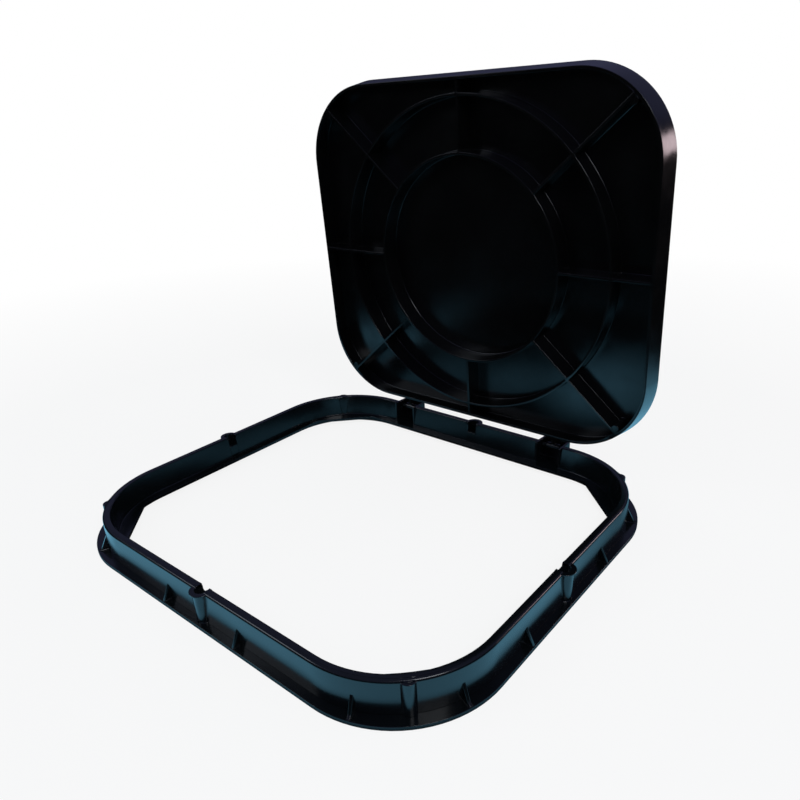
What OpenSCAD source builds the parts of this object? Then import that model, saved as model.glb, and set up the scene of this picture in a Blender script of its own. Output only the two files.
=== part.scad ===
// Hinged access cover in a moulded frame, in millimetres.
// Origin: middle of the clear opening, in the plane of the flange's underside.
// X runs along the hinge, the hinge side is +Y, and Z is up.

/* [Frame] */
// Width of the rim over its lip, along the hinge
frame_w = 450; // [400:1:540]
// Depth of the rim over its lip, across the hinge
frame_d = 400; // [350:1:480]
// Height of the rim above the ground it is bedded on
frame_h = 33; // [30:0.5:45]
// Outer radius of the rim's corners
corner_r = 94; // [80:1:105]
// Width of the flat lip on top of the wall
lip_w = 5; // [4:0.1:7]
// Thickness of the lip
lip_t = 2.2; // [1.5:0.1:3.5]
// How far the lip stands out past the wall below it
lip_overhang = 2; // [1:0.1:3]
// Thickness of the wall
wall_t = 3; // [2.5:0.1:4]
// How far the wall leans outwards from foot to top
wall_lean = 5; // [2:0.5:7]
// Bevel on the lip's two top edges
lip_bevel = 0.5; // [0.2:0.1:0.8]

/* [Flange and ledge] */
// How far the flange reaches past the lip
flange_reach = 10.5; // [8:0.5:18]
// Thickness of the flange
flange_t = 3.5; // [2.5:0.1:4.5]
// How much tighter the flange's corners are than an even reach gives
flange_corner_less = 7.5; // [0:0.5:12]
// Height of the ledge's underside
ledge_z = 5; // [4:0.5:8]
// Thickness of the ledge that the cover sits on
ledge_t = 3.5; // [2.5:0.1:4.5]
// From the lip's outer edge in to the clear opening
opening_inset = 18; // [15:0.5:24]
// Length that each corner web takes off the opening's sides
corner_web = 52; // [36:1:60]

/* [Ribs and pockets of the frame] */
// Thickness of the small triangular gussets
gusset_t = 2.5; // [1.5:0.1:3.5]
// Height at which a gusset meets the wall
gusset_h = 14; // [10:0.5:20]
// Front and rear gussets, from the middle of their side
gusset_x = 48; // [36:1:60]
// Left and right gussets, from the middle of their side
gusset_y = 66; // [40:1:70]
// Corner gussets, degrees from the end of the arc
gusset_angle = 21; // [16:0.5:26]
// Radius of the half-round rib on each corner
boss_r = 6.5; // [4:0.5:8]
// How far the corner rib stands out past the lip
boss_reach = 3.5; // [2:0.5:4.5]
// Inner radius of the pocket in the middle of each side
pocket_r = 5.5; // [4.5:0.1:7]
// Wall round the pocket at its top
pocket_wall = 2.5; // [2:0.1:3]
// How much slimmer the pocket's outside is at its foot
pocket_taper = 1.2; // [0:0.1:1.5]
// How far the pocket's collar lies below the rim
collar_drop = 0.6; // [0:0.1:1]

/* [Hinge] */
// From the end of the straight rear side to the middle of a hinge
hinge_inset = 26.3; // [20:0.1:34]
// Hinge axis behind the outer edge of the rim
axis_back = 7; // [6:0.5:10]
// Hinge axis below the top of the rim
axis_drop = 7; // [6.5:0.5:9]
// Radius of the hinge pin
pin_r = 2; // [1.5:0.1:2.2]
// Play between pin and knuckle, on the radius
pin_play = 0.06; // [0.02:0.01:0.1]
// Squeeze of the pin in the frame's walls, on the radius
pin_squeeze = 0.02; // [0.01:0.01:0.04]
// Clear width of the recess in the rear wall
recess_w = 27; // [24:0.5:32]
// Wall round the recess
recess_wall = 2.5; // [2:0.1:3]
// Outer radius of the cover's knuckle
knuckle_r = 4.2; // [4:0.1:4.5]
// Length of the knuckle
knuckle_w = 16; // [10:0.5:20]
// Thickness of the arm that carries the knuckle
arm_t = 4; // [3:0.1:6]
// How far the arm's back stands out past the knuckle
heel = 1; // [0.6:0.1:1.2]
// Depth of the arm where it meets the skirt
arm_root = 11; // [8:0.5:12]
// Angle that the cover stands open
open_angle = 87; // [0:1:90]

/* [Cover] */
// Gap between the cover's plate and the lip, all round
cover_gap = 5; // [3:0.1:6]
// How much rounder the plate's corners are than an even gap gives
cover_corner_more = 3; // [0:0.5:6]
// Thickness of the plate
plate_t = 3.5; // [2.5:0.1:4.5]
// Thickness of the skirt
skirt_t = 3; // [2.5:0.1:3.5]
// How far the skirt leans in from plate to open edge
skirt_lean = 3.5; // [1:0.5:5]
// Radius on the plate's outer edge
edge_r = 2; // [1:0.1:2.5]
// Room under the skirt when the cover is shut
seat_gap = 0.3; // [0.2:0.1:1]
// Thickness of the ribs where they meet the plate
rib_t = 3.4; // [2:0.1:4]
// How much thinner the ribs are at their free edge
rib_draft = 0.6; // [0:0.1:0.8]
// From the skirt's open edge in to the outer ring rib
ring_inset = 16.5; // [10:0.5:24]
// From the outer ring rib in to the inner one
ring_step = 56; // [40:1:70]
// Radius of the lug beside each corner rib
lug_r = 4; // [3:0.1:5]

/* [Hidden] */
$fn = 96;
bite = 1;      // how far one form is sunk into the next so that they fuse
over = 5;      // how far a cut runs past the face it opens
clearance = 0.3; // between the arm's back and the recess when the cover is upright

half_w = frame_w / 2;
half_d = frame_d / 2;
corner_x = half_w - corner_r;
corner_y = half_d - corner_r;
lip_z = frame_h - lip_t;
seat_z = ledge_z + ledge_t;
foot_inset = lip_overhang + wall_lean;
mid_inset = foot_inset + wall_t / 2;
side_halves = [half_w, half_d];

flange_corner_r = corner_r + flange_reach - flange_corner_less;
collar_r = pocket_r + pocket_wall + lip_overhang;
boss_ring_r = corner_r + boss_reach - boss_r;

axis_y = half_d + axis_back;
axis_z = frame_h - axis_drop;
hinge_x = corner_x - hinge_inset;
heel_r = knuckle_r + heel;
recess_y = axis_y + heel_r + clearance;
box_w = recess_w + 2 * recess_wall;

cover_x = half_w - lip_w - cover_gap;
cover_y = half_d - lip_w - cover_gap;
cover_corner_r = corner_r - lip_w - cover_gap + cover_corner_more;
skirt_z = seat_z + seat_gap;
plate_z = frame_h - plate_t;
rib_h = plate_z - skirt_z;
skirt_mid = skirt_t / 2;
ring_r = cover_y - skirt_lean - ring_inset;
inner_ring_r = ring_r - ring_step;
diagonal = atan2(cover_y, cover_x);

// Outer face of the frame's wall, as a distance in from the lip's outer edge
function wall_inset(z) = foot_inset - wall_lean * z / lip_z;

// From the middle of a rounded rectangle to its outline along the angle a,
// where the outline is the arc round the corner centre [cx, cy]
function reach(a, cx, cy, r) =
    let (along = cx * cos(a) + cy * sin(a), off = cx * cx + cy * cy - along * along)
    along + sqrt(r * r - off);

// A rounded rectangle with true arcs at its corners
module rounded_plan(hx, hy, r) {
    square([2 * hx, 2 * (hy - r)], center = true);
    square([2 * (hx - r), 2 * hy], center = true);
    for (sx = [-1, 1], sy = [-1, 1])
        translate([sx * (hx - r), sy * (hy - r)]) circle(r);
}

// Runs a section round a rounded rectangle. The section's x counts from the
// corner's centre, and its y is height.
module sweep_round(hx, hy, r) {
    for (k = [0:3]) {
        a = k % 2 == 0 ? hx : hy;
        b = k % 2 == 0 ? hy : hx;
        rotate([0, 0, 90 * k]) {
            translate([r - a, b - r, 0]) rotate([90, 0, 90]) linear_extrude(2 * (a - r)) children();
            translate([a - r, b - r, 0]) rotate_extrude(angle = 90) children();
        }
    }
}

// Section of the frame's wall with its lip
module wall_section() {
    polygon([
        [corner_r - foot_inset, 0],
        [corner_r - lip_overhang, lip_z],
        [corner_r, lip_z],
        [corner_r, frame_h - lip_bevel],
        [corner_r - lip_bevel, frame_h],
        [corner_r - lip_w + lip_bevel, frame_h],
        [corner_r - lip_w, frame_h - lip_bevel],
        [corner_r - foot_inset - wall_t, 0]
    ]);
}

module clear_opening() {
    x = half_w - opening_inset;
    y = half_d - opening_inset;
    polygon([
        [x - corner_web, -y], [x, corner_web - y], [x, y - corner_web], [x - corner_web, y],
        [corner_web - x, y], [-x, y - corner_web], [-x, corner_web - y], [corner_web - x, -y]
    ]);
}

module flange() {
    linear_extrude(flange_t) difference() {
        rounded_plan(half_w + flange_reach, half_d + flange_reach, flange_corner_r);
        rounded_plan(half_w - mid_inset, half_d - mid_inset, corner_r - mid_inset);
    }
}

module ledge() {
    translate([0, 0, ledge_z]) linear_extrude(ledge_t) difference() {
        rounded_plan(half_w - mid_inset, half_d - mid_inset, corner_r - mid_inset);
        clear_opening();
    }
}

// A triangular rib from the wall to the flange's edge, which lies edge past the
// lip. It points along +X from the wall's own radius r.
module gusset(r, edge) {
    rotate([90, 0, 0]) translate([0, 0, -gusset_t / 2]) linear_extrude(gusset_t) polygon([
        [r - mid_inset, flange_t - bite],
        [r + edge - bite, flange_t - bite],
        [r + edge - bite, flange_t + 0.3],
        [r - wall_inset(gusset_h), gusset_h],
        [r - wall_inset(gusset_h) - bite, gusset_h]
    ]);
}

module gussets() {
    for (side = [0, 180], y = [-gusset_y, gusset_y])
        rotate([0, 0, side]) translate([0, y, 0]) gusset(half_w, flange_reach);
    for (side = [-90, 90], x = [-gusset_x, gusset_x])
        rotate([0, 0, side]) translate([0, x, 0]) gusset(half_d, flange_reach);
    for (sx = [-1, 1], sy = [-1, 1], a = [gusset_angle, 90 - gusset_angle]) {
        edge = reach(a, flange_corner_less, flange_corner_less, flange_corner_r) - corner_r;
        heading = atan2(sy * sin(a), sx * cos(a));
        translate([sx * corner_x, sy * corner_y, 0]) rotate([0, 0, heading]) gusset(corner_r, edge);
    }
}

// The half-round rib on each corner, closed at the top
module corner_bosses() {
    for (sx = [-1, 1], sy = [-1, 1])
        translate([sx * corner_x, sy * corner_y, 0]) difference() {
            rotate([0, 0, atan2(sy, sx)]) translate([boss_ring_r, 0, flange_t - bite])
                cylinder(h = frame_h - collar_drop - flange_t + bite, r = boss_r);
            cylinder(h = frame_h, r1 = corner_r - foot_inset - wall_t, r2 = corner_r - lip_w);
        }
}

// Places its children at the middle of each side, with +X pointing outwards
// from the lip's outer edge
module at_sides() {
    for (k = [0:3])
        rotate([0, 0, 90 * k]) translate([side_halves[k % 2], 0, 0]) children();
}

module pocket_outside() {
    outer = pocket_r + pocket_wall;
    cylinder(h = lip_z, r1 = outer - pocket_taper, r2 = outer);
    translate([0, 0, lip_z]) cylinder(h = lip_t - collar_drop, r = collar_r);
}

// The pocket is open above, and towards the middle above the ledge
module pocket_hollow() {
    translate([0, 0, flange_t]) cylinder(h = frame_h + over, r = pocket_r);
    translate([-opening_inset, -pocket_r, seat_z]) cube([opening_inset, 2 * pocket_r, frame_h]);
}

// What the pocket's round outside would leave standing inside the wall
module pocket_inside() {
    deep = 2 * collar_r;
    rotate([90, 0, 0]) translate([0, 0, -collar_r]) linear_extrude(2 * collar_r) polygon([
        [-foot_inset - wall_t, -over],
        [-foot_inset - wall_t, 0],
        [-lip_w, frame_h],
        [-lip_w, frame_h + over],
        [-deep, frame_h + over],
        [-deep, -over]
    ]);
}

module pockets() {
    at_sides() difference() {
        pocket_outside();
        pocket_inside();
    }
}

module hinge_boxes() {
    front = half_d - mid_inset;
    for (side = [-1, 1])
        translate([side * hinge_x - box_w / 2, front, 0])
            cube([box_w, recess_y + recess_wall - front, frame_h]);
}

// The recess, the core that thins its floor from below, and the pin's holes
module hinge_cuts() {
    core_front = half_d - foot_inset + recess_wall;
    inside = opening_inset + over;
    for (side = [-1, 1]) translate([side * hinge_x, 0, 0]) {
        translate([-recess_w / 2, half_d - inside, seat_z])
            cube([recess_w, recess_y - half_d + inside, frame_h]);
        translate([-recess_w / 2, core_front, -over])
            cube([recess_w, recess_y - core_front, ledge_z + over]);
        translate([-box_w, axis_y, axis_z]) rotate([0, 90, 0])
            cylinder(h = 2 * box_w, r = pin_r - pin_squeeze);
    }
}

module frame() {
    color("#23292e") difference() {
        union() {
            sweep_round(half_w, half_d, corner_r) wall_section();
            flange();
            ledge();
            gussets();
            corner_bosses();
            pockets();
            hinge_boxes();
        }
        at_sides() pocket_hollow();
        hinge_cuts();
    }
}

// Section of the skirt with the plate's rounded edge
module skirt_section() {
    steps = 4;
    round_edge = [for (i = [0:steps]) [
        cover_corner_r - edge_r + edge_r * cos(90 * i / steps),
        frame_h - edge_r + edge_r * sin(90 * i / steps)
    ]];
    polygon(concat(
        [[cover_corner_r - skirt_lean, skirt_z]],
        round_edge,
        [
            [cover_corner_r - 2 * skirt_t, frame_h],
            [cover_corner_r - 2 * skirt_t, plate_z],
            [cover_corner_r - skirt_t, plate_z],
            [cover_corner_r - skirt_lean - skirt_t, skirt_z]
        ]
    ));
}

module plate() {
    translate([0, 0, plate_z]) linear_extrude(plate_t)
        rounded_plan(cover_x - skirt_t, cover_y - skirt_t, cover_corner_r - skirt_t);
}

// Section of a rib, upright, with its free edge at the skirt's open edge
module rib_section() {
    tip = rib_t - rib_draft;
    polygon([
        [-tip / 2, skirt_z],
        [tip / 2, skirt_z],
        [rib_t / 2, plate_z + bite],
        [-rib_t / 2, plate_z + bite]
    ]);
}

module ring_rib(r) {
    rotate_extrude() translate([r, 0]) rib_section();
}

// A rib from the inner ring to the middle of the skirt's wall, which lies
// outline away from the centre at the plate's level
module spoke(outline) {
    intersection() {
        rotate([90, 0, 90]) linear_extrude(outline) rib_section();
        rotate([90, 0, 0]) translate([0, 0, -rib_t]) linear_extrude(2 * rib_t) polygon([
            [inner_ring_r, skirt_z],
            [outline - skirt_lean - skirt_mid, skirt_z],
            [outline - skirt_mid, plate_z + bite],
            [inner_ring_r, plate_z + bite]
        ]);
    }
}

// Four ribs to the sides and four to the corners, each with its lug
module spokes() {
    cx = cover_x - cover_corner_r;
    cy = cover_y - cover_corner_r;
    to_corner = reach(diagonal, cx, cy, cover_corner_r);
    lug_from_middle = to_corner - skirt_lean - skirt_t - lug_r;
    for (a = [0, 180]) rotate([0, 0, a]) spoke(cover_x);
    for (a = [90, 270]) rotate([0, 0, a]) spoke(cover_y);
    for (sx = [-1, 1], sy = [-1, 1])
        rotate([0, 0, atan2(sy * cover_y, sx * cover_x)]) {
            spoke(to_corner);
            translate([lug_from_middle, -sx * sy * lug_r, skirt_z])
                cylinder(h = rib_h + bite, r = lug_r);
        }
}

// The knuckle and its arm, drawn with the cover shut
module hinge_arms() {
    root_y = cover_y - skirt_mid;
    top_z = axis_z + heel_r;
    for (side = [-1, 1]) translate([side * hinge_x, 0, 0]) {
        translate([-knuckle_w / 2, axis_y, axis_z]) rotate([0, 90, 0])
            cylinder(h = knuckle_w, r = knuckle_r);
        translate([-arm_t / 2, 0, 0]) rotate([90, 0, 90]) linear_extrude(arm_t) polygon([
            [root_y, top_z - arm_root],
            [axis_y - knuckle_r / 2, axis_z - knuckle_r / 2],
            [axis_y, axis_z],
            [axis_y - knuckle_r / 2, top_z],
            [root_y, top_z]
        ]);
    }
}

module knuckle_bores() {
    for (side = [-1, 1])
        translate([side * hinge_x - knuckle_w, axis_y, axis_z]) rotate([0, 90, 0])
            cylinder(h = 2 * knuckle_w, r = pin_r + pin_play);
}

module shut_cover() {
    difference() {
        union() {
            sweep_round(cover_x, cover_y, cover_corner_r) skirt_section();
            plate();
            ring_rib(ring_r);
            ring_rib(inner_ring_r);
            spokes();
            hinge_arms();
        }
        knuckle_bores();
    }
}

module cover() {
    color("#14171a") translate([0, axis_y, axis_z]) rotate([-open_angle, 0, 0])
        translate([0, -axis_y, -axis_z]) shut_cover();
}

module hinge_pin(side) {
    color("#3a4044") translate([side * hinge_x - box_w / 2, axis_y, axis_z]) rotate([0, 90, 0])
        cylinder(h = box_w, r = pin_r);
}

module hinge_pin_left() {
    hinge_pin(-1);
}

module hinge_pin_right() {
    hinge_pin(1);
}

frame();
cover();
hinge_pin_left();
hinge_pin_right();
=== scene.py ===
# Hinged access cover for an inspection chamber, moulded in black polypropylene:
# a bedded frame with its ledge, and a ribbed cover standing open on two rear pins.
import math

import bmesh
import bpy
from mathutils import Matrix, Vector
from mathutils.bvhtree import BVHTree


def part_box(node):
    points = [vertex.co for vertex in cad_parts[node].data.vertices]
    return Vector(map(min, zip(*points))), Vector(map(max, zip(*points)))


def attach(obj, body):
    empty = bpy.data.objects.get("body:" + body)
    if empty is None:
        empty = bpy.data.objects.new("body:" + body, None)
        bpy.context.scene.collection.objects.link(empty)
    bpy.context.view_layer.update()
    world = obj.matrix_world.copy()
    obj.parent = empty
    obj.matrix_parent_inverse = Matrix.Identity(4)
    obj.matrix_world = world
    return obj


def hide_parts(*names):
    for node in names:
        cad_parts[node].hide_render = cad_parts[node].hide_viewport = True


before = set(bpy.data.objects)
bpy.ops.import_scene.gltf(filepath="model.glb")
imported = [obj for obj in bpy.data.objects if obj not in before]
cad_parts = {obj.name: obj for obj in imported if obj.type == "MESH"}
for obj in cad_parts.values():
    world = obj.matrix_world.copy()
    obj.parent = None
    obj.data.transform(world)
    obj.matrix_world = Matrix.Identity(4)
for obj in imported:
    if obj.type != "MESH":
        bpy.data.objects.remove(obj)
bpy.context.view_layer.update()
scene = bpy.context.scene
mm = 0.001
colourA, colourB = 6, 7  # a Mix node's two colour inputs, which share their names with others
print("loaded the packed frame:", ", ".join(sorted(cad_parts)))


# sRGB hex to the linear values that a shader socket takes
def linearColour(hexCode):
    channels = [int(hexCode[i : i + 2], 16) / 255 for i in (1, 3, 5)]
    return [c / 12.92 if c <= 0.04045 else ((c + 0.055) / 1.055) ** 2.4 for c in channels] + [1]


# Adds a node with its settings; an input takes a value or another node's output
def addNode(tree, kind, inputs=None, **settings):
    node = tree.nodes.new(kind)
    for name, value in settings.items():
        setattr(node, name, value)
    for key, value in (inputs or {}).items():
        if isinstance(value, bpy.types.NodeSocket):
            tree.links.new(value, node.inputs[key])
        else:
            node.inputs[key].default_value = value
    return node


def newMaterial(name):
    material = bpy.data.materials.new(name)
    material.use_nodes = True
    material.node_tree.nodes.clear()
    return material, material.node_tree


def addObject(name, mesh):
    piece = bpy.data.objects.new(name, mesh)
    scene.collection.objects.link(piece)
    return piece


# The evaluated object as a plain mesh, with its modifiers gone
def bake(piece):
    evaluated = piece.evaluated_get(bpy.context.evaluated_depsgraph_get())
    result = bpy.data.meshes.new_from_object(evaluated)
    piece.modifiers.clear()
    piece.data = result
    return piece


# The camera stands where the photograph was taken from
cameraSettings = {
    "position": (0.43569, -0.44231, 0.38594),
    "azimuth": 40.804,
    "elevation": 22.492,
    "roll": -2.828,
    "lens": 31.05,
}


def makeCamera(settings):
    azimuth = math.radians(settings["azimuth"])
    elevation = math.radians(settings["elevation"])
    roll = math.radians(settings["roll"])
    backwards = Vector(
        (
            math.sin(azimuth) * math.cos(elevation),
            -math.cos(azimuth) * math.cos(elevation),
            math.sin(elevation),
        )
    )
    right = (-backwards).cross(Vector((0, 0, 1))).normalized()
    up = right.cross(-backwards)
    sideways = math.cos(roll) * right + math.sin(roll) * up
    upwards = math.cos(roll) * up - math.sin(roll) * right
    data = bpy.data.cameras.new("camera")
    data.lens = settings["lens"]
    camera = addObject("camera", data)
    turn = Matrix((sideways, upwards, backwards)).transposed().to_4x4()
    camera.matrix_world = Matrix.Translation(settings["position"]) @ turn
    scene.camera = camera


makeCamera(cameraSettings)
print("camera set")

# Pale floor, white to the camera. Only glossy rays see the painted reflections on it: a bluish white
# strip glowing round the frame, a few soft glowing discs of the same and, beyond, a painted dark room;
# these painted reflections draw the plastic's walls.
stageSettings = {
    "floorSize": 40.0,
    "floorColour": "#f2f4f5",
    "floorWhite": 0.86,  # how much of the floor near the object is plain white to the camera
    "whiteFrom": 0.6,  # metres from the middle, where the floor starts to turn plain white
    "whiteTo": 1.5,
    # The strip and the discs glow only for glossy rays: they are painted reflections, not a real pale
    # floor
    "stripHalf": (0.1385, 0.1135),  # half sizes of the rectangle that the strip runs round
    # Inside the rectangle and just past it the strip stays dark: painted shade of the frame's opening
    # and a painted contact shadow along the flange, in the reflection
    "stripFrom": (0.0945, 0.106),  # metres from that rectangle, over which the strip sets in
    "stripTo": (0.145, 0.19),  # and over which it ends
    "stripNear": (0.08, -0.3, 0.0),  # the strip is brightest here
    "stripFade": (0.3, 0.5),  # metres from there, over which it dims
    "stripFar": 0.3,  # to this share
    # Painted reflection patches: glowing discs on the floor that only glossy rays see
    "discs": [  # x, y, radius in metres and strength
        (0.075, 0.0, 0.12, 0.8),
        (-0.05, 0.035, 0.07, 0.4),
        (-0.15, 0.09, 0.12, 0.3),
        (-0.37, 0.0, 0.07, 1.1),
        (-0.298, -0.045, 0.035, 1.3),
        (0.3, 0.38, 0.24, 1.0),
    ],
    "discCore": 0.4,  # share of a disc's radius at its full strength
    # Colour and strength of the painted reflection; its blue goes above white
    "reflectionPaintColour": "#7fc8ea",
    "reflectionPaintStrength": 1.65,
    # Painted dark reflection: the dark that glossy rays see in the room and on the floor outside the
    # strip, while the camera sees white
    "paintedDarkReflectionColour": "#040506",
    # Painted reflection of a dim purple band, seen only by glossy rays
    "paintedBandColour": "#5d6084",  # dim upper part of the room
    "bandFrom": 0.12,  # sine of the elevation where that part starts
    "bandTo": 0.5,
    "ambientColour": "#9ba0a5",
    "backdropColour": "#ffffff",
}


# A soft step between two values; it falls where the second output is the smaller
def softStep(tree, value, start, end, outputs=(0.0, 1.0)):
    return addNode(
        tree,
        "ShaderNodeMapRange",
        {
            "Value": value,
            "From Min": start,
            "From Max": end,
            "To Min": outputs[0],
            "To Max": outputs[1],
        },
        interpolation_type="SMOOTHSTEP",
    ).outputs["Result"]


# How bright the painted reflection on the floor is, which only glossy rays see: the glowing strip
# round the frame and the soft glowing discs
def paintedReflectionStripAndDiscs(tree, place, settings):
    half = (*settings["stripHalf"], 0)
    mirroredPlace = addNode(tree, "ShaderNodeVectorMath", {0: place}, operation="ABSOLUTE").outputs[0]
    beyond = addNode(
        tree, "ShaderNodeVectorMath", {0: mirroredPlace, 1: half}, operation="SUBTRACT"
    ).outputs[0]
    outside = addNode(
        tree, "ShaderNodeVectorMath", {0: beyond, 1: (0, 0, 0)}, operation="MAXIMUM"
    ).outputs[0]
    away = addNode(tree, "ShaderNodeVectorMath", {0: outside}, operation="LENGTH").outputs["Value"]
    setIn = softStep(tree, away, *settings["stripFrom"])
    total = softStep(tree, away, *settings["stripTo"], outputs=(1.0, 0.0))
    total = addNode(tree, "ShaderNodeMath", {0: setIn, 1: total}, operation="MULTIPLY").outputs[0]
    toNear = addNode(
        tree, "ShaderNodeVectorMath", {0: place, 1: settings["stripNear"]}, operation="DISTANCE"
    ).outputs["Value"]
    fade = softStep(tree, toNear, *settings["stripFade"], outputs=(1.0, settings["stripFar"]))
    total = addNode(tree, "ShaderNodeMath", {0: total, 1: fade}, operation="MULTIPLY").outputs[0]
    for x, y, radius, strength in settings["discs"]:
        apart = addNode(
            tree, "ShaderNodeVectorMath", {0: place, 1: (x, y, 0)}, operation="DISTANCE"
        ).outputs["Value"]
        core = radius * settings["discCore"]
        disc = softStep(tree, apart, core, radius, outputs=(strength, 0.0))
        total = addNode(tree, "ShaderNodeMath", {0: total, 1: disc}, operation="MAXIMUM").outputs[0]
    return total


def makeFloor(settings):
    mesh = bpy.data.meshes.new("floor")
    half = settings["floorSize"] / 2
    corners = [(-half, -half, 0), (half, -half, 0), (half, half, 0), (-half, half, 0)]
    mesh.from_pydata(corners, [], [(0, 1, 2, 3)])
    material, tree = newMaterial("pale floor with painted reflections")
    path = addNode(tree, "ShaderNodeLightPath").outputs
    place = addNode(tree, "ShaderNodeTexCoord").outputs["Object"]
    away = addNode(tree, "ShaderNodeVectorMath", {0: place}, operation="LENGTH").outputs["Value"]
    share = addNode(
        tree,
        "ShaderNodeMapRange",
        {
            "Value": away,
            "From Min": settings["whiteFrom"],
            "From Max": settings["whiteTo"],
            "To Min": settings["floorWhite"],
            "To Max": 1.0,
        },
    ).outputs["Result"]
    reflectionPaint = paintedReflectionStripAndDiscs(tree, place, settings)
    seen = addNode(
        tree,
        "ShaderNodeMath",
        {0: path["Is Camera Ray"], 1: path["Is Transmission Ray"]},
        operation="MAXIMUM",
    ).outputs["Value"]
    white = addNode(tree, "ShaderNodeMath", {0: seen, 1: share}, operation="MULTIPLY").outputs["Value"]
    reflectionPaintColour = addNode(
        tree,
        "ShaderNodeMix",
        {
            "Factor": reflectionPaint,
            colourA: linearColour(settings["paintedDarkReflectionColour"]),
            colourB: linearColour(settings["reflectionPaintColour"]),
        },
        data_type="RGBA",
    ).outputs[2]
    floorColour = linearColour(settings["floorColour"])
    diffuse = addNode(tree, "ShaderNodeBsdfDiffuse", {"Color": floorColour})
    plain = addNode(tree, "ShaderNodeEmission", {"Strength": 1.0})
    # Painted reflection: an emission on the floor that only glossy rays see
    reflectionPaintGlow = addNode(
        tree, "ShaderNodeEmission", {"Color": reflectionPaintColour, "Strength": settings["reflectionPaintStrength"]}
    )
    first = addNode(
        tree,
        "ShaderNodeMixShader",
        {0: white, 1: diffuse.outputs[0], 2: plain.outputs[0]},
    )
    second = addNode(
        tree,
        "ShaderNodeMixShader",
        {0: path["Is Glossy Ray"], 1: first.outputs[0], 2: reflectionPaintGlow.outputs[0]},
    )
    addNode(tree, "ShaderNodeOutputMaterial", {"Surface": second.outputs[0]})
    mesh.materials.append(material)
    floor = addObject("floor", mesh)


# Surroundings: white to the camera, a grey ambient to diffuse light, and to glossy rays a painted
# reflection of a dark room with a dim purple band
def makeWorld(settings):
    world = bpy.data.worlds.new("studio")
    world.use_nodes = True
    tree = world.node_tree
    tree.nodes.clear()
    path = addNode(tree, "ShaderNodeLightPath").outputs
    seen = addNode(
        tree,
        "ShaderNodeMath",
        {0: path["Is Camera Ray"], 1: path["Is Transmission Ray"]},
        operation="MAXIMUM",
    ).outputs["Value"]
    ambient = addNode(
        tree, "ShaderNodeBackground", {"Color": linearColour(settings["ambientColour"])}
    )
    towards = addNode(tree, "ShaderNodeTexCoord").outputs["Generated"]
    height = addNode(tree, "ShaderNodeSeparateXYZ", {0: towards}).outputs["Z"]
    band = addNode(
        tree,
        "ShaderNodeMapRange",
        {"Value": height, "From Min": settings["bandFrom"], "From Max": settings["bandTo"]},
        interpolation_type="SMOOTHSTEP",
    ).outputs["Result"]
    paintedRoomAndBand = addNode(
        tree,
        "ShaderNodeMix",
        {
            "Factor": band,
            colourA: linearColour(settings["paintedDarkReflectionColour"]),
            colourB: linearColour(settings["paintedBandColour"]),
        },
        data_type="RGBA",
    ).outputs[2]
    paintedDarkRoom = addNode(tree, "ShaderNodeBackground", {"Color": paintedRoomAndBand})
    backdrop = linearColour(settings["backdropColour"])
    plain = addNode(tree, "ShaderNodeBackground", {"Color": backdrop})
    first = addNode(
        tree,
        "ShaderNodeMixShader",
        {0: path["Is Glossy Ray"], 1: ambient.outputs[0], 2: paintedDarkRoom.outputs[0]},
    )
    second = addNode(
        tree, "ShaderNodeMixShader", {0: seen, 1: first.outputs[0], 2: plain.outputs[0]}
    )
    addNode(tree, "ShaderNodeOutputWorld", {"Surface": second.outputs[0]})
    scene.world = world


lampTarget = (0, 0, 0.1)
lampSettings = [
    {"name": "key_box", "at": (1.3, -0.6, 1.5), "size": (0.8, 0.5), "watts": 10, "tint": "#f4f9ff"},
    {"name": "fill_box", "at": (-1.2, -1.2, 1.1), "size": (0.7, 0.7), "watts": 4, "tint": "#eaf4ff"},
    {"name": "rear_box", "at": (1.5, 1.6, 0.62), "size": (0.7, 0.4), "watts": 6, "tint": "#ffe6ec"},
]


def makeLamps(lamps):
    for settings in lamps:
        data = bpy.data.lights.new(settings["name"], "AREA")
        data.shape = "RECTANGLE"
        data.size, data.size_y = settings["size"]
        data.energy = settings["watts"]
        data.color = linearColour(settings["tint"])[:3]
        lamp = addObject(settings["name"], data)
        lamp.location = settings["at"]
        aim = Vector(lampTarget) - Vector(settings["at"])
        lamp.rotation_euler = aim.to_track_quat("-Z", "Y").to_euler()


makeFloor(stageSettings)
makeWorld(stageSettings)
makeLamps(lampSettings)
scene.view_settings.view_transform = "Standard"
print("floor, surroundings and lamps set")

# Injection-moulded polypropylene, coloured with carbon black: nearly black, with a soft
# sheen that breaks up over a fine spark-eroded grain, and flat walls that are never
# quite flat, so that what they mirror runs in long soft waves. Sizes and depths are in mm.
frameFinish = {
    "name": "moulded_polypropylene_frame",
    # Its faint blue-green tint is partly the near-black plastic's own and partly a painted sheen,
    # standing in for the teal that the frame's walls mirror
    "colour": "#05080a",
    "paleColour": "#0a0e11",
    "cloudSize": 60.0,  # patches in which colour and roughness drift
    "roughness": (0.13, 0.22),
    "ior": 1.49,
    "grainSize": 0.9,  # the real grain is about 0.3 mm, too fine to show
    "grainDepth": 0.012,
    "waveSize": 38.0,
    "waveDepth": 0.11,
}
coverFinish = {
    "name": "moulded_polypropylene_cover",
    "colour": "#040405",
    "paleColour": "#090a0b",
    "cloudSize": 60.0,
    "roughness": (0.13, 0.27),
    "ior": 1.49,
    "grainSize": 0.9,
    "grainDepth": 0.014,
    "waveSize": 45.0,
    "waveDepth": 0.14,
}
# Drawn and cut nylon rod: smoother and a little greyer than the moulded parts
pinFinish = {
    "name": "drawn_nylon_rod",
    "colour": "#1c2023",
    "paleColour": "#262b2f",
    "cloudSize": 60.0,
    "roughness": (0.24, 0.32),
    "ior": 1.53,
    "grainSize": 0.7,
    "grainDepth": 0.006,
    "waveSize": 12.0,
    "waveDepth": 0.0,
}
noiseRange = (0.3, 0.7)  # most of what the noise gives


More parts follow.
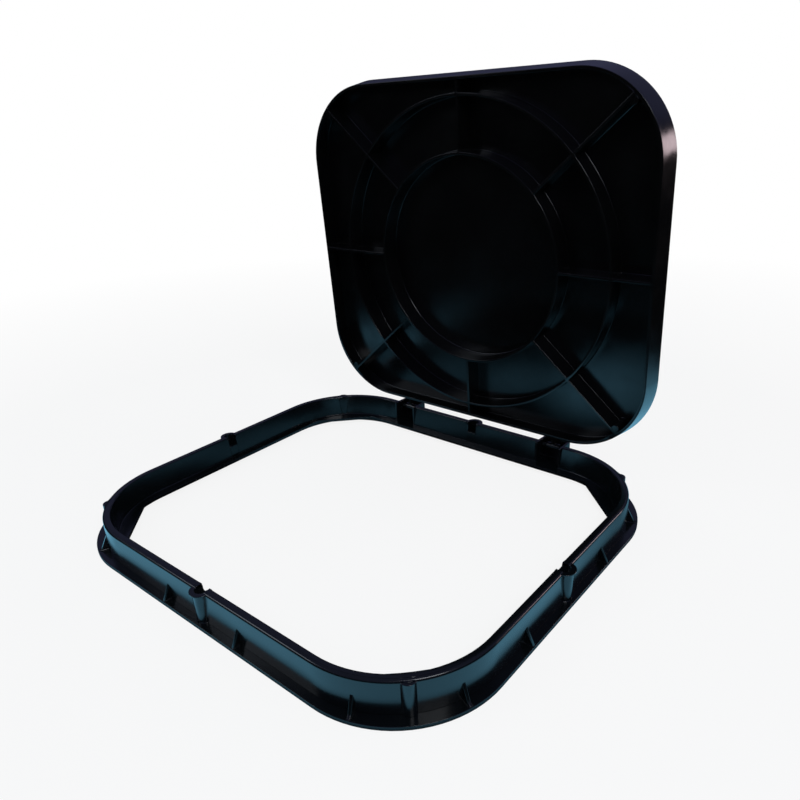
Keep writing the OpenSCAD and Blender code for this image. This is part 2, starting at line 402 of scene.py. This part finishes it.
def makePlastic(settings):
    material, tree = newMaterial(settings["name"])
    place = addNode(tree, "ShaderNodeTexCoord").outputs["Object"]
    cloud = addNode(
        tree,
        "ShaderNodeTexNoise",
        {
            "Vector": place,
            "Scale": 1 / (settings["cloudSize"] * mm),
            "Detail": 4.0,
            "Roughness": 0.6,
        },
    ).outputs["Fac"]
    grain = addNode(
        tree,
        "ShaderNodeTexNoise",
        {"Vector": place, "Scale": 1 / (settings["grainSize"] * mm), "Detail": 1.0},
    ).outputs["Fac"]
    wave = addNode(
        tree,
        "ShaderNodeTexNoise",
        {"Vector": place, "Scale": 1 / (settings["waveSize"] * mm), "Detail": 0.0},
    ).outputs["Fac"]
    colour = addNode(
        tree,
        "ShaderNodeMix",
        {
            "Factor": cloud,
            colourA: linearColour(settings["colour"]),
            colourB: linearColour(settings["paleColour"]),
        },
        data_type="RGBA",
    ).outputs[2]
    smoothest, roughest = settings["roughness"]
    cloudLow, cloudHigh = noiseRange
    roughness = addNode(
        tree,
        "ShaderNodeMapRange",
        {
            "Value": cloud,
            "From Min": cloudLow,
            "From Max": cloudHigh,
            "To Min": smoothest,
            "To Max": roughest,
        },
    ).outputs["Result"]
    waves = addNode(
        tree,
        "ShaderNodeBump",
        {"Height": wave, "Distance": settings["waveDepth"] * mm, "Strength": 1.0},
    ).outputs["Normal"]
    grains = addNode(
        tree,
        "ShaderNodeBump",
        {
            "Height": grain,
            "Distance": settings["grainDepth"] * mm,
            "Strength": 1.0,
            "Normal": waves,
        },
    ).outputs["Normal"]
    shader = addNode(
        tree,
        "ShaderNodeBsdfPrincipled",
        {
            "Base Color": colour,
            "Roughness": roughness,
            "IOR": settings["ior"],
            "Normal": grains,
        },
    )
    addNode(tree, "ShaderNodeOutputMaterial", {"Surface": shader.outputs[0]})
    return material


framePlastic = makePlastic(frameFinish)
coverPlastic = makePlastic(coverFinish)
pinPlastic = makePlastic(pinFinish)
print("materials made")

# Frame and cover, with every edge and rib root rounded as a mould leaves them, in mm
roundingSettings = {
    "mergeDistance": 0.02,
    "shortestEdge": 0.01,
    "sharpAngle": 28.0,  # degrees between two faces, from which their edge is rounded
    "edgeRadius": 0.4,
    "rootRadius": 0.8,
    "segments": 2,
    "strayLimit": 0.35,  # from the solid, past which a point goes back onto it
}


# The copy takes a CAD node's place; grow adds forms to it before its edges are rounded
def roundedCopy(node, name, material, settings, grow=None):
    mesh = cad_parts[node].data.copy()
    shape = bmesh.new()
    shape.from_mesh(mesh)
    if grow:
        grow(shape)
    solid = BVHTree.FromBMesh(shape)

    # Outer edges get the smaller radius and inner corners the larger one
    bmesh.ops.remove_doubles(shape, verts=shape.verts, dist=settings["mergeDistance"] * mm)
    bmesh.ops.dissolve_degenerate(shape, edges=shape.edges, dist=settings["shortestEdge"] * mm)
    weight = shape.edges.layers.float.new("bevel_weight_edge")
    outer = settings["edgeRadius"] / settings["rootRadius"]
    for edge in shape.edges:
        if edge.is_manifold and edge.calc_face_angle() > math.radians(settings["sharpAngle"]):
            edge[weight] = outer if edge.is_convex else 1.0
    shape.to_mesh(mesh)
    shape.free()
    mesh.materials.clear()
    mesh.materials.append(material)

    piece = addObject(name, mesh)
    bevel = piece.modifiers.new("rounding", "BEVEL")
    bevel.limit_method = "WEIGHT"
    bevel.width = settings["rootRadius"] * mm
    bevel.segments = settings["segments"]
    bevel.miter_outer = "MITER_ARC"
    bevel.use_clamp_overlap = False
    bake(piece)

    # Where three roundings meet in a narrow place, the bevel throws points out
    strays = 0
    for vertex in piece.data.vertices:
        nearest, _, _, distance = solid.find_nearest(vertex.co)
        if distance > settings["strayLimit"] * mm:
            vertex.co = nearest
            strays += 1

    piece.data.shade_smooth()
    piece.modifiers.new("level faces", "WEIGHTED_NORMAL")
    bake(piece)
    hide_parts(node)
    print(name, "rounded,", len(piece.data.polygons), "faces,", strays, "points put back")
    return piece


hingeSettings = {"pinRadius": 2 * mm, "open": 87.0}
pinLow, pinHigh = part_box("hinge_pin_right")
hingeMiddle = (pinLow + pinHigh) / 2
hingeAxis = Vector((0, hingeMiddle.y, pinLow.z + hingeSettings["pinRadius"]))

# The frame's wall as the photograph shows it: upright, with a round shoulder outside the flat
# lip. The CAD wall leans in under its lip, so a skin that fills this lean is grown on it, with
# the taller gussets, the corner ribs and a sill in each pocket's mouth. Sizes are in mm. In a
# pair, the first counts outwards from the lip's outer edge and the second upwards.
wallSettings = {
    "flangeReach": 10.5,  # from the lip's outer edge to the frame's own edge
    "cornerRadius": 94.0,
    "cornerSteps": 24,
    "skinFoot": (3.0, 3.4),
    "skinBack": -2.5,  # inside the CAD wall
    "shoulderRadius": 2.5,
    "shoulderSteps": 5,
    "lipCover": 0.6,  # how far the skin laps over the lip, past its bevel
    "lipProud": 0.02,  # and how far it stands over it, so that the two tops don't coincide
    "pocketHalf": 5.56,  # the skin ends inside each pocket's shell
    "hingeHalf": 14.5,  # and inside the hinge boxes' cheeks
    "gussetToe": (9.6, 4.0),
    "gussetTop": (2.6, 18.0),
    "gussetBack": 1.5,  # inside the skin
    "gussetHalf": 1.4,
    "gussetPlaces": (66.0, 48.0),  # on the left and right walls, on the front and rear walls
    "gussetTurn": 21.0,  # degrees from the corner's ends
    "ribMiddle": -0.5,
    "ribRadius": 6.5,
    "ribTurn": 100,  # degrees of its round, to each side
    "ribStep": 10,
    "ribTop": 31.9,
    "sill": ((-9.2, 5.2), (-1.0, 5.2), (-1.0, 21.0), (-6.8, 21.0)),  # flush with the inner face
}


# A closed form through rings of as many points each
def addLoft(shape, rings):
    made = [[shape.verts.new(point * mm) for point in ring] for ring in rings]
    faces = [shape.faces.new(made[0]), shape.faces.new(made[-1])]
    for low, high in zip(made, made[1:]):
        for i in range(len(low)):
            faces.append(shape.faces.new((low[i - 1], low[i], high[i], high[i - 1])))
    bmesh.ops.recalc_face_normals(shape, faces=faces)


def growWall(shape):
    given = wallSettings
    low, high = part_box("frame")
    radius = given["cornerRadius"]
    half = [edge / mm - given["flangeReach"] - radius for edge in (high[0], -low[1])]
    rim = high[2] / mm
    upright = Vector((0, 0, 1))

    # The skin's section goes from its back and foot up the shoulder and over the lip's edge
    back, foot = given["skinBack"], given["skinFoot"][1]
    top = rim + given["lipProud"]
    shoulder, steps = given["shoulderRadius"], given["shoulderSteps"]
    shoulderTurns = [math.pi / 2 * i / steps for i in range(steps + 1)]
    skin = [(back, foot), given["skinFoot"]]
    skin += [(shoulder * math.cos(a), top - shoulder * (1 - math.sin(a))) for a in shoulderTurns]
    skin += [(-given["lipCover"], top), (back, rim - given["lipCover"])]

    gussetBack = given["gussetBack"]
    toe, tip = given["gussetToe"], given["gussetTop"]
    gussetSection = [(gussetBack, foot), (toe[0], foot), toe, tip, (gussetBack, tip[1])]

    # Point on the lip's outline and the way out there: side 0 is left or right, 1 front or rear
    def onSide(side, signs, along):
        point, out = Vector((0, 0, 0)), Vector((0, 0, 0))
        out[side] = signs[side]
        point[side] = signs[side] * (half[side] + radius)
        point[1 - side] = signs[1 - side] * along
        return point, out

    def onCorner(signs, turn):
        out = Vector((signs[0] * math.cos(turn), signs[1] * math.sin(turn), 0))
        return Vector((signs[0] * half[0], signs[1] * half[1], 0)) + out * radius, out

    # A section carried from station to station
    def run(stations, section):
        addLoft(
            shape,
            [[point + out * u + upright * z for u, z in section] for point, out in stations],
        )

    def gusset(point, out):
        along = out.cross(upright) * given["gussetHalf"]
        run([(point - along, out), (point + along, out)], gussetSection)

    # Round each corner, from one pocket to the next; at the rear it breaks off at the hinge box
    def cornerSkin(signs):
        end, steps = given["pocketHalf"], given["cornerSteps"]
        hinge, hingeHalf = hingeMiddle.x / mm, given["hingeHalf"]
        stations = [onSide(0, signs, end)]
        stations += [onCorner(signs, math.pi / 2 * i / steps) for i in range(steps + 1)]
        if signs[1] > 0:
            stations.append(onSide(1, signs, hinge + hingeHalf))
            run([onSide(1, signs, along) for along in (hinge - hingeHalf, end)], skin)
        else:
            stations.append(onSide(1, signs, end))
        run(stations, skin)

    # A half-round rib up the middle of the corner
    def cornerRib(signs):
        point, out = onCorner(signs, math.pi / 4)
        across = out.cross(upright)
        middle = point + out * given["ribMiddle"]
        last = given["ribTurn"]
        turns = [math.radians(a) for a in range(-last, last + 1, given["ribStep"])]
        spokes = [(out * math.cos(a) + across * math.sin(a)) * given["ribRadius"] for a in turns]
        ends = (foot, given["ribTop"])
        addLoft(shape, [[middle + spoke + upright * z for spoke in spokes] for z in ends])

    turn = math.radians(given["gussetTurn"])
    for signs in ((1, 1), (-1, 1), (-1, -1), (1, -1)):
        cornerSkin(signs)
        for side in range(2):
            gusset(*onSide(side, signs, given["gussetPlaces"][side]))
        for cornerTurn in (turn, math.pi / 2 - turn):
            gusset(*onCorner(signs, cornerTurn))
        cornerRib(signs)
    for side, sign in ((0, 1), (0, -1), (1, 1), (1, -1)):
        ends = (-given["pocketHalf"], given["pocketHalf"])
        run([onSide(side, (sign, sign), along) for along in ends], given["sill"])
    print("wall skin, gussets, corner ribs and sills grown on the frame's copy")


frameShell = roundedCopy("frame", "frame_shell", framePlastic, roundingSettings, growWall)
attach(frameShell, "frame")
coverShell = roundedCopy("cover", "cover_shell", coverPlastic, roundingSettings)
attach(coverShell, "cover")
for pinNode in ("hinge_pin_left", "hinge_pin_right"):
    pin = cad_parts[pinNode]
    pin.data.materials.clear()
    pin.data.materials.append(pinPlastic)
print("frame and cover rounded, pins finished")


# A node group with named sizes and a material as its inputs
def newGroup(name, sizes):
    tree = bpy.data.node_groups.new(name, "GeometryNodeTree")
    tree.interface.new_socket(name="Geometry", in_out="OUTPUT", socket_type="NodeSocketGeometry")
    for label, value in sizes.items():
        kind = "NodeSocketInt" if isinstance(value, int) else "NodeSocketFloat"
        tree.interface.new_socket(name=label, in_out="INPUT", socket_type=kind)
    tree.interface.new_socket(name="Material", in_out="INPUT", socket_type="NodeSocketMaterial")
    return tree, addNode(tree, "NodeGroupInput").outputs


# Ends a group: instances made real, lifted to their height, with the material
def endGroup(tree, given, instances, height):
    real = addNode(tree, "GeometryNodeRealizeInstances", {0: instances}).outputs[0]
    lift = addNode(tree, "ShaderNodeCombineXYZ", {"Z": height}).outputs[0]
    placed = addNode(tree, "GeometryNodeTransform", {"Geometry": real, "Translation": lift})
    done = addNode(
        tree,
        "GeometryNodeSetMaterial",
        {"Geometry": placed.outputs[0], "Material": given["Material"]},
    )
    addNode(tree, "NodeGroupOutput", {"Geometry": done.outputs[0]})


grownSharpAngle = 40.0  # degrees, from which an edge of a bar or a mark stays crisp


# Runs a group on an empty object and leaves its result as a plain mesh, turned up with the
# cover, because the group lays it out on the shut cover
def growOnCover(name, tree, sizes, material):
    piece = addObject(name, bpy.data.meshes.new(name))
    grown = piece.modifiers.new(name, "NODES")
    grown.node_group = tree
    values = {**sizes, "Material": material}
    for socket in tree.interface.items_tree:
        if socket.in_out == "INPUT":
            grown[socket.identifier] = values[socket.name]
    bake(piece)
    turn = Matrix.Rotation(math.radians(-hingeSettings["open"]), 4, "X")
    turn = Matrix.Translation(hingeAxis) @ turn @ Matrix.Translation(-hingeAxis)
    piece.data.transform(turn)
    piece.data.shade_smooth()
    piece.data.set_sharp_from_angle(angle=math.radians(grownSharpAngle))
    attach(piece, "cover")
    print(name, "grown,", len(piece.data.polygons), "faces")
    return piece


# Anti-slip tread on the cover's top: raised lozenges turned left and right by turns, as on
# most plastic and ductile covers of this size
treadSettings = {
    "Field Width": 380 * mm,
    "Field Depth": 330 * mm,
    "Columns": 19,
    "Rows": 17,
    "Corner Radius": 70 * mm,
    "Corner Margin": 1 * mm,
    "Bar Length": 17 * mm,
    "Bar Width": 5.5 * mm,
    "Bar Height": 1.0 * mm,
    "Bar Taper": 0.8,
    "Bar Corners": 16,
    "Top Height": 32.9 * mm,
}


def makeTreadGroup(sizes):
    tree, given = newGroup("anti-slip tread", sizes)

    def calculate(operation, first, second=0.0, third=0.0):
        return addNode(
            tree, "ShaderNodeMath", {0: first, 1: second, 2: third}, operation=operation
        ).outputs[0]

    grid = addNode(
        tree,
        "GeometryNodeMeshGrid",
        {
            "Size X": given["Field Width"],
            "Size Y": given["Field Depth"],
            "Vertices X": given["Columns"],
            "Vertices Y": given["Rows"],
        },
    ).outputs["Mesh"]
    index = addNode(tree, "GeometryNodeInputIndex").outputs[0]
    # Each bar is turned the other way from its neighbours
    column = calculate("FLOOR", calculate("DIVIDE", index, given["Rows"]))
    row = calculate("MODULO", index, given["Rows"])
    parity = calculate("MODULO", calculate("ADD", column, row), 2.0)
    angle = calculate("MULTIPLY_ADD", parity, math.pi / 2, -math.pi / 4)
    turned = addNode(tree, "ShaderNodeCombineXYZ", {"Z": angle}).outputs[0]

    # Bars stand only inside a field with round corners
    inwards = calculate("MULTIPLY", given["Corner Radius"], -1.0)
    corner = addNode(
        tree,
        "ShaderNodeCombineXYZ",
        {
            "X": calculate("MULTIPLY_ADD", given["Field Width"], 0.5, inwards),
            "Y": calculate("MULTIPLY_ADD", given["Field Depth"], 0.5, inwards),
        },
    ).outputs[0]
    place = addNode(tree, "GeometryNodeInputPosition").outputs[0]
    quarter = addNode(tree, "ShaderNodeVectorMath", {0: place}, operation="ABSOLUTE").outputs[0]
    beyond = addNode(
        tree, "ShaderNodeVectorMath", {0: quarter, 1: corner}, operation="SUBTRACT"
    ).outputs[0]
    outside = addNode(
        tree, "ShaderNodeVectorMath", {0: beyond, 1: (0, 0, 0)}, operation="MAXIMUM"
    ).outputs[0]
    away = addNode(tree, "ShaderNodeVectorMath", {0: outside}, operation="LENGTH").outputs["Value"]
    farthest = calculate("ADD", given["Corner Radius"], given["Corner Margin"])
    inField = calculate("LESS_THAN", away, farthest)

    # One bar: a disc one metre wide, stretched to the bar's size and raised
    disc = addNode(
        tree,
        "GeometryNodeMeshCircle",
        {"Vertices": given["Bar Corners"], "Radius": 0.5},
        fill_type="NGON",
    ).outputs[0]
    stretch = addNode(
        tree, "ShaderNodeCombineXYZ", {"X": given["Bar Length"], "Y": given["Bar Width"], "Z": 1.0}
    ).outputs[0]
    foot = addNode(tree, "GeometryNodeTransform", {"Geometry": disc, "Scale": stretch}).outputs[0]
    raised = addNode(
        tree, "GeometryNodeExtrudeMesh", {"Mesh": foot, "Offset Scale": given["Bar Height"]}
    ).outputs
    bar = addNode(
        tree,
        "GeometryNodeScaleElements",
        {
            "Geometry": raised["Mesh"],
            "Selection": raised["Top"],
            "Scale": given["Bar Taper"],
        },
    ).outputs[0]
    bars = addNode(
        tree,
        "GeometryNodeInstanceOnPoints",
        {"Points": grid, "Selection": inField, "Instance": bar, "Rotation": turned},
    ).outputs[0]
    endGroup(tree, given, bars, given["Top Height"])
    return tree


growOnCover("anti_slip_tread", makeTreadGroup(treadSettings), treadSettings, coverPlastic)

# Witness marks of the mould's ejector pins under the plate, standing a hair proud, in a ring
# round the middle of the shut cover
markSettings = {
    "Ring Radius": 108 * mm,
    "Marks": 8,
    "Mark Radius": 4.5 * mm,
    "Mark Height": 0.15 * mm,
    "Mark Corners": 32,
    "Plate Height": 29.5 * mm,
}


def makeMarkGroup(sizes):
    tree, given = newGroup("ejector marks", sizes)
    ring = addNode(
        tree,
        "GeometryNodeMeshCircle",
        {"Vertices": given["Marks"], "Radius": given["Ring Radius"]},
    ).outputs[0]
    # Half a step round, so that each mark lies between two spokes
    between = addNode(
        tree,
        "ShaderNodeMath",
        {0: math.pi, 1: given["Marks"]},
        operation="DIVIDE",
    ).outputs[0]
    turned = addNode(tree, "ShaderNodeCombineXYZ", {"Z": between}).outputs[0]
    points = addNode(
        tree, "GeometryNodeTransform", {"Geometry": ring, "Rotation": turned}
    ).outputs[0]
    pin = addNode(
        tree,
        "GeometryNodeMeshCylinder",
        {
            "Vertices": given["Mark Corners"],
            "Radius": given["Mark Radius"],
            "Depth": given["Mark Height"],
        },
    ).outputs["Mesh"]
    marks = addNode(
        tree, "GeometryNodeInstanceOnPoints", {"Points": points, "Instance": pin}
    ).outputs[0]
    endGroup(tree, given, marks, given["Plate Height"])
    return tree


growOnCover("ejector_marks", makeMarkGroup(markSettings), markSettings, coverPlastic)
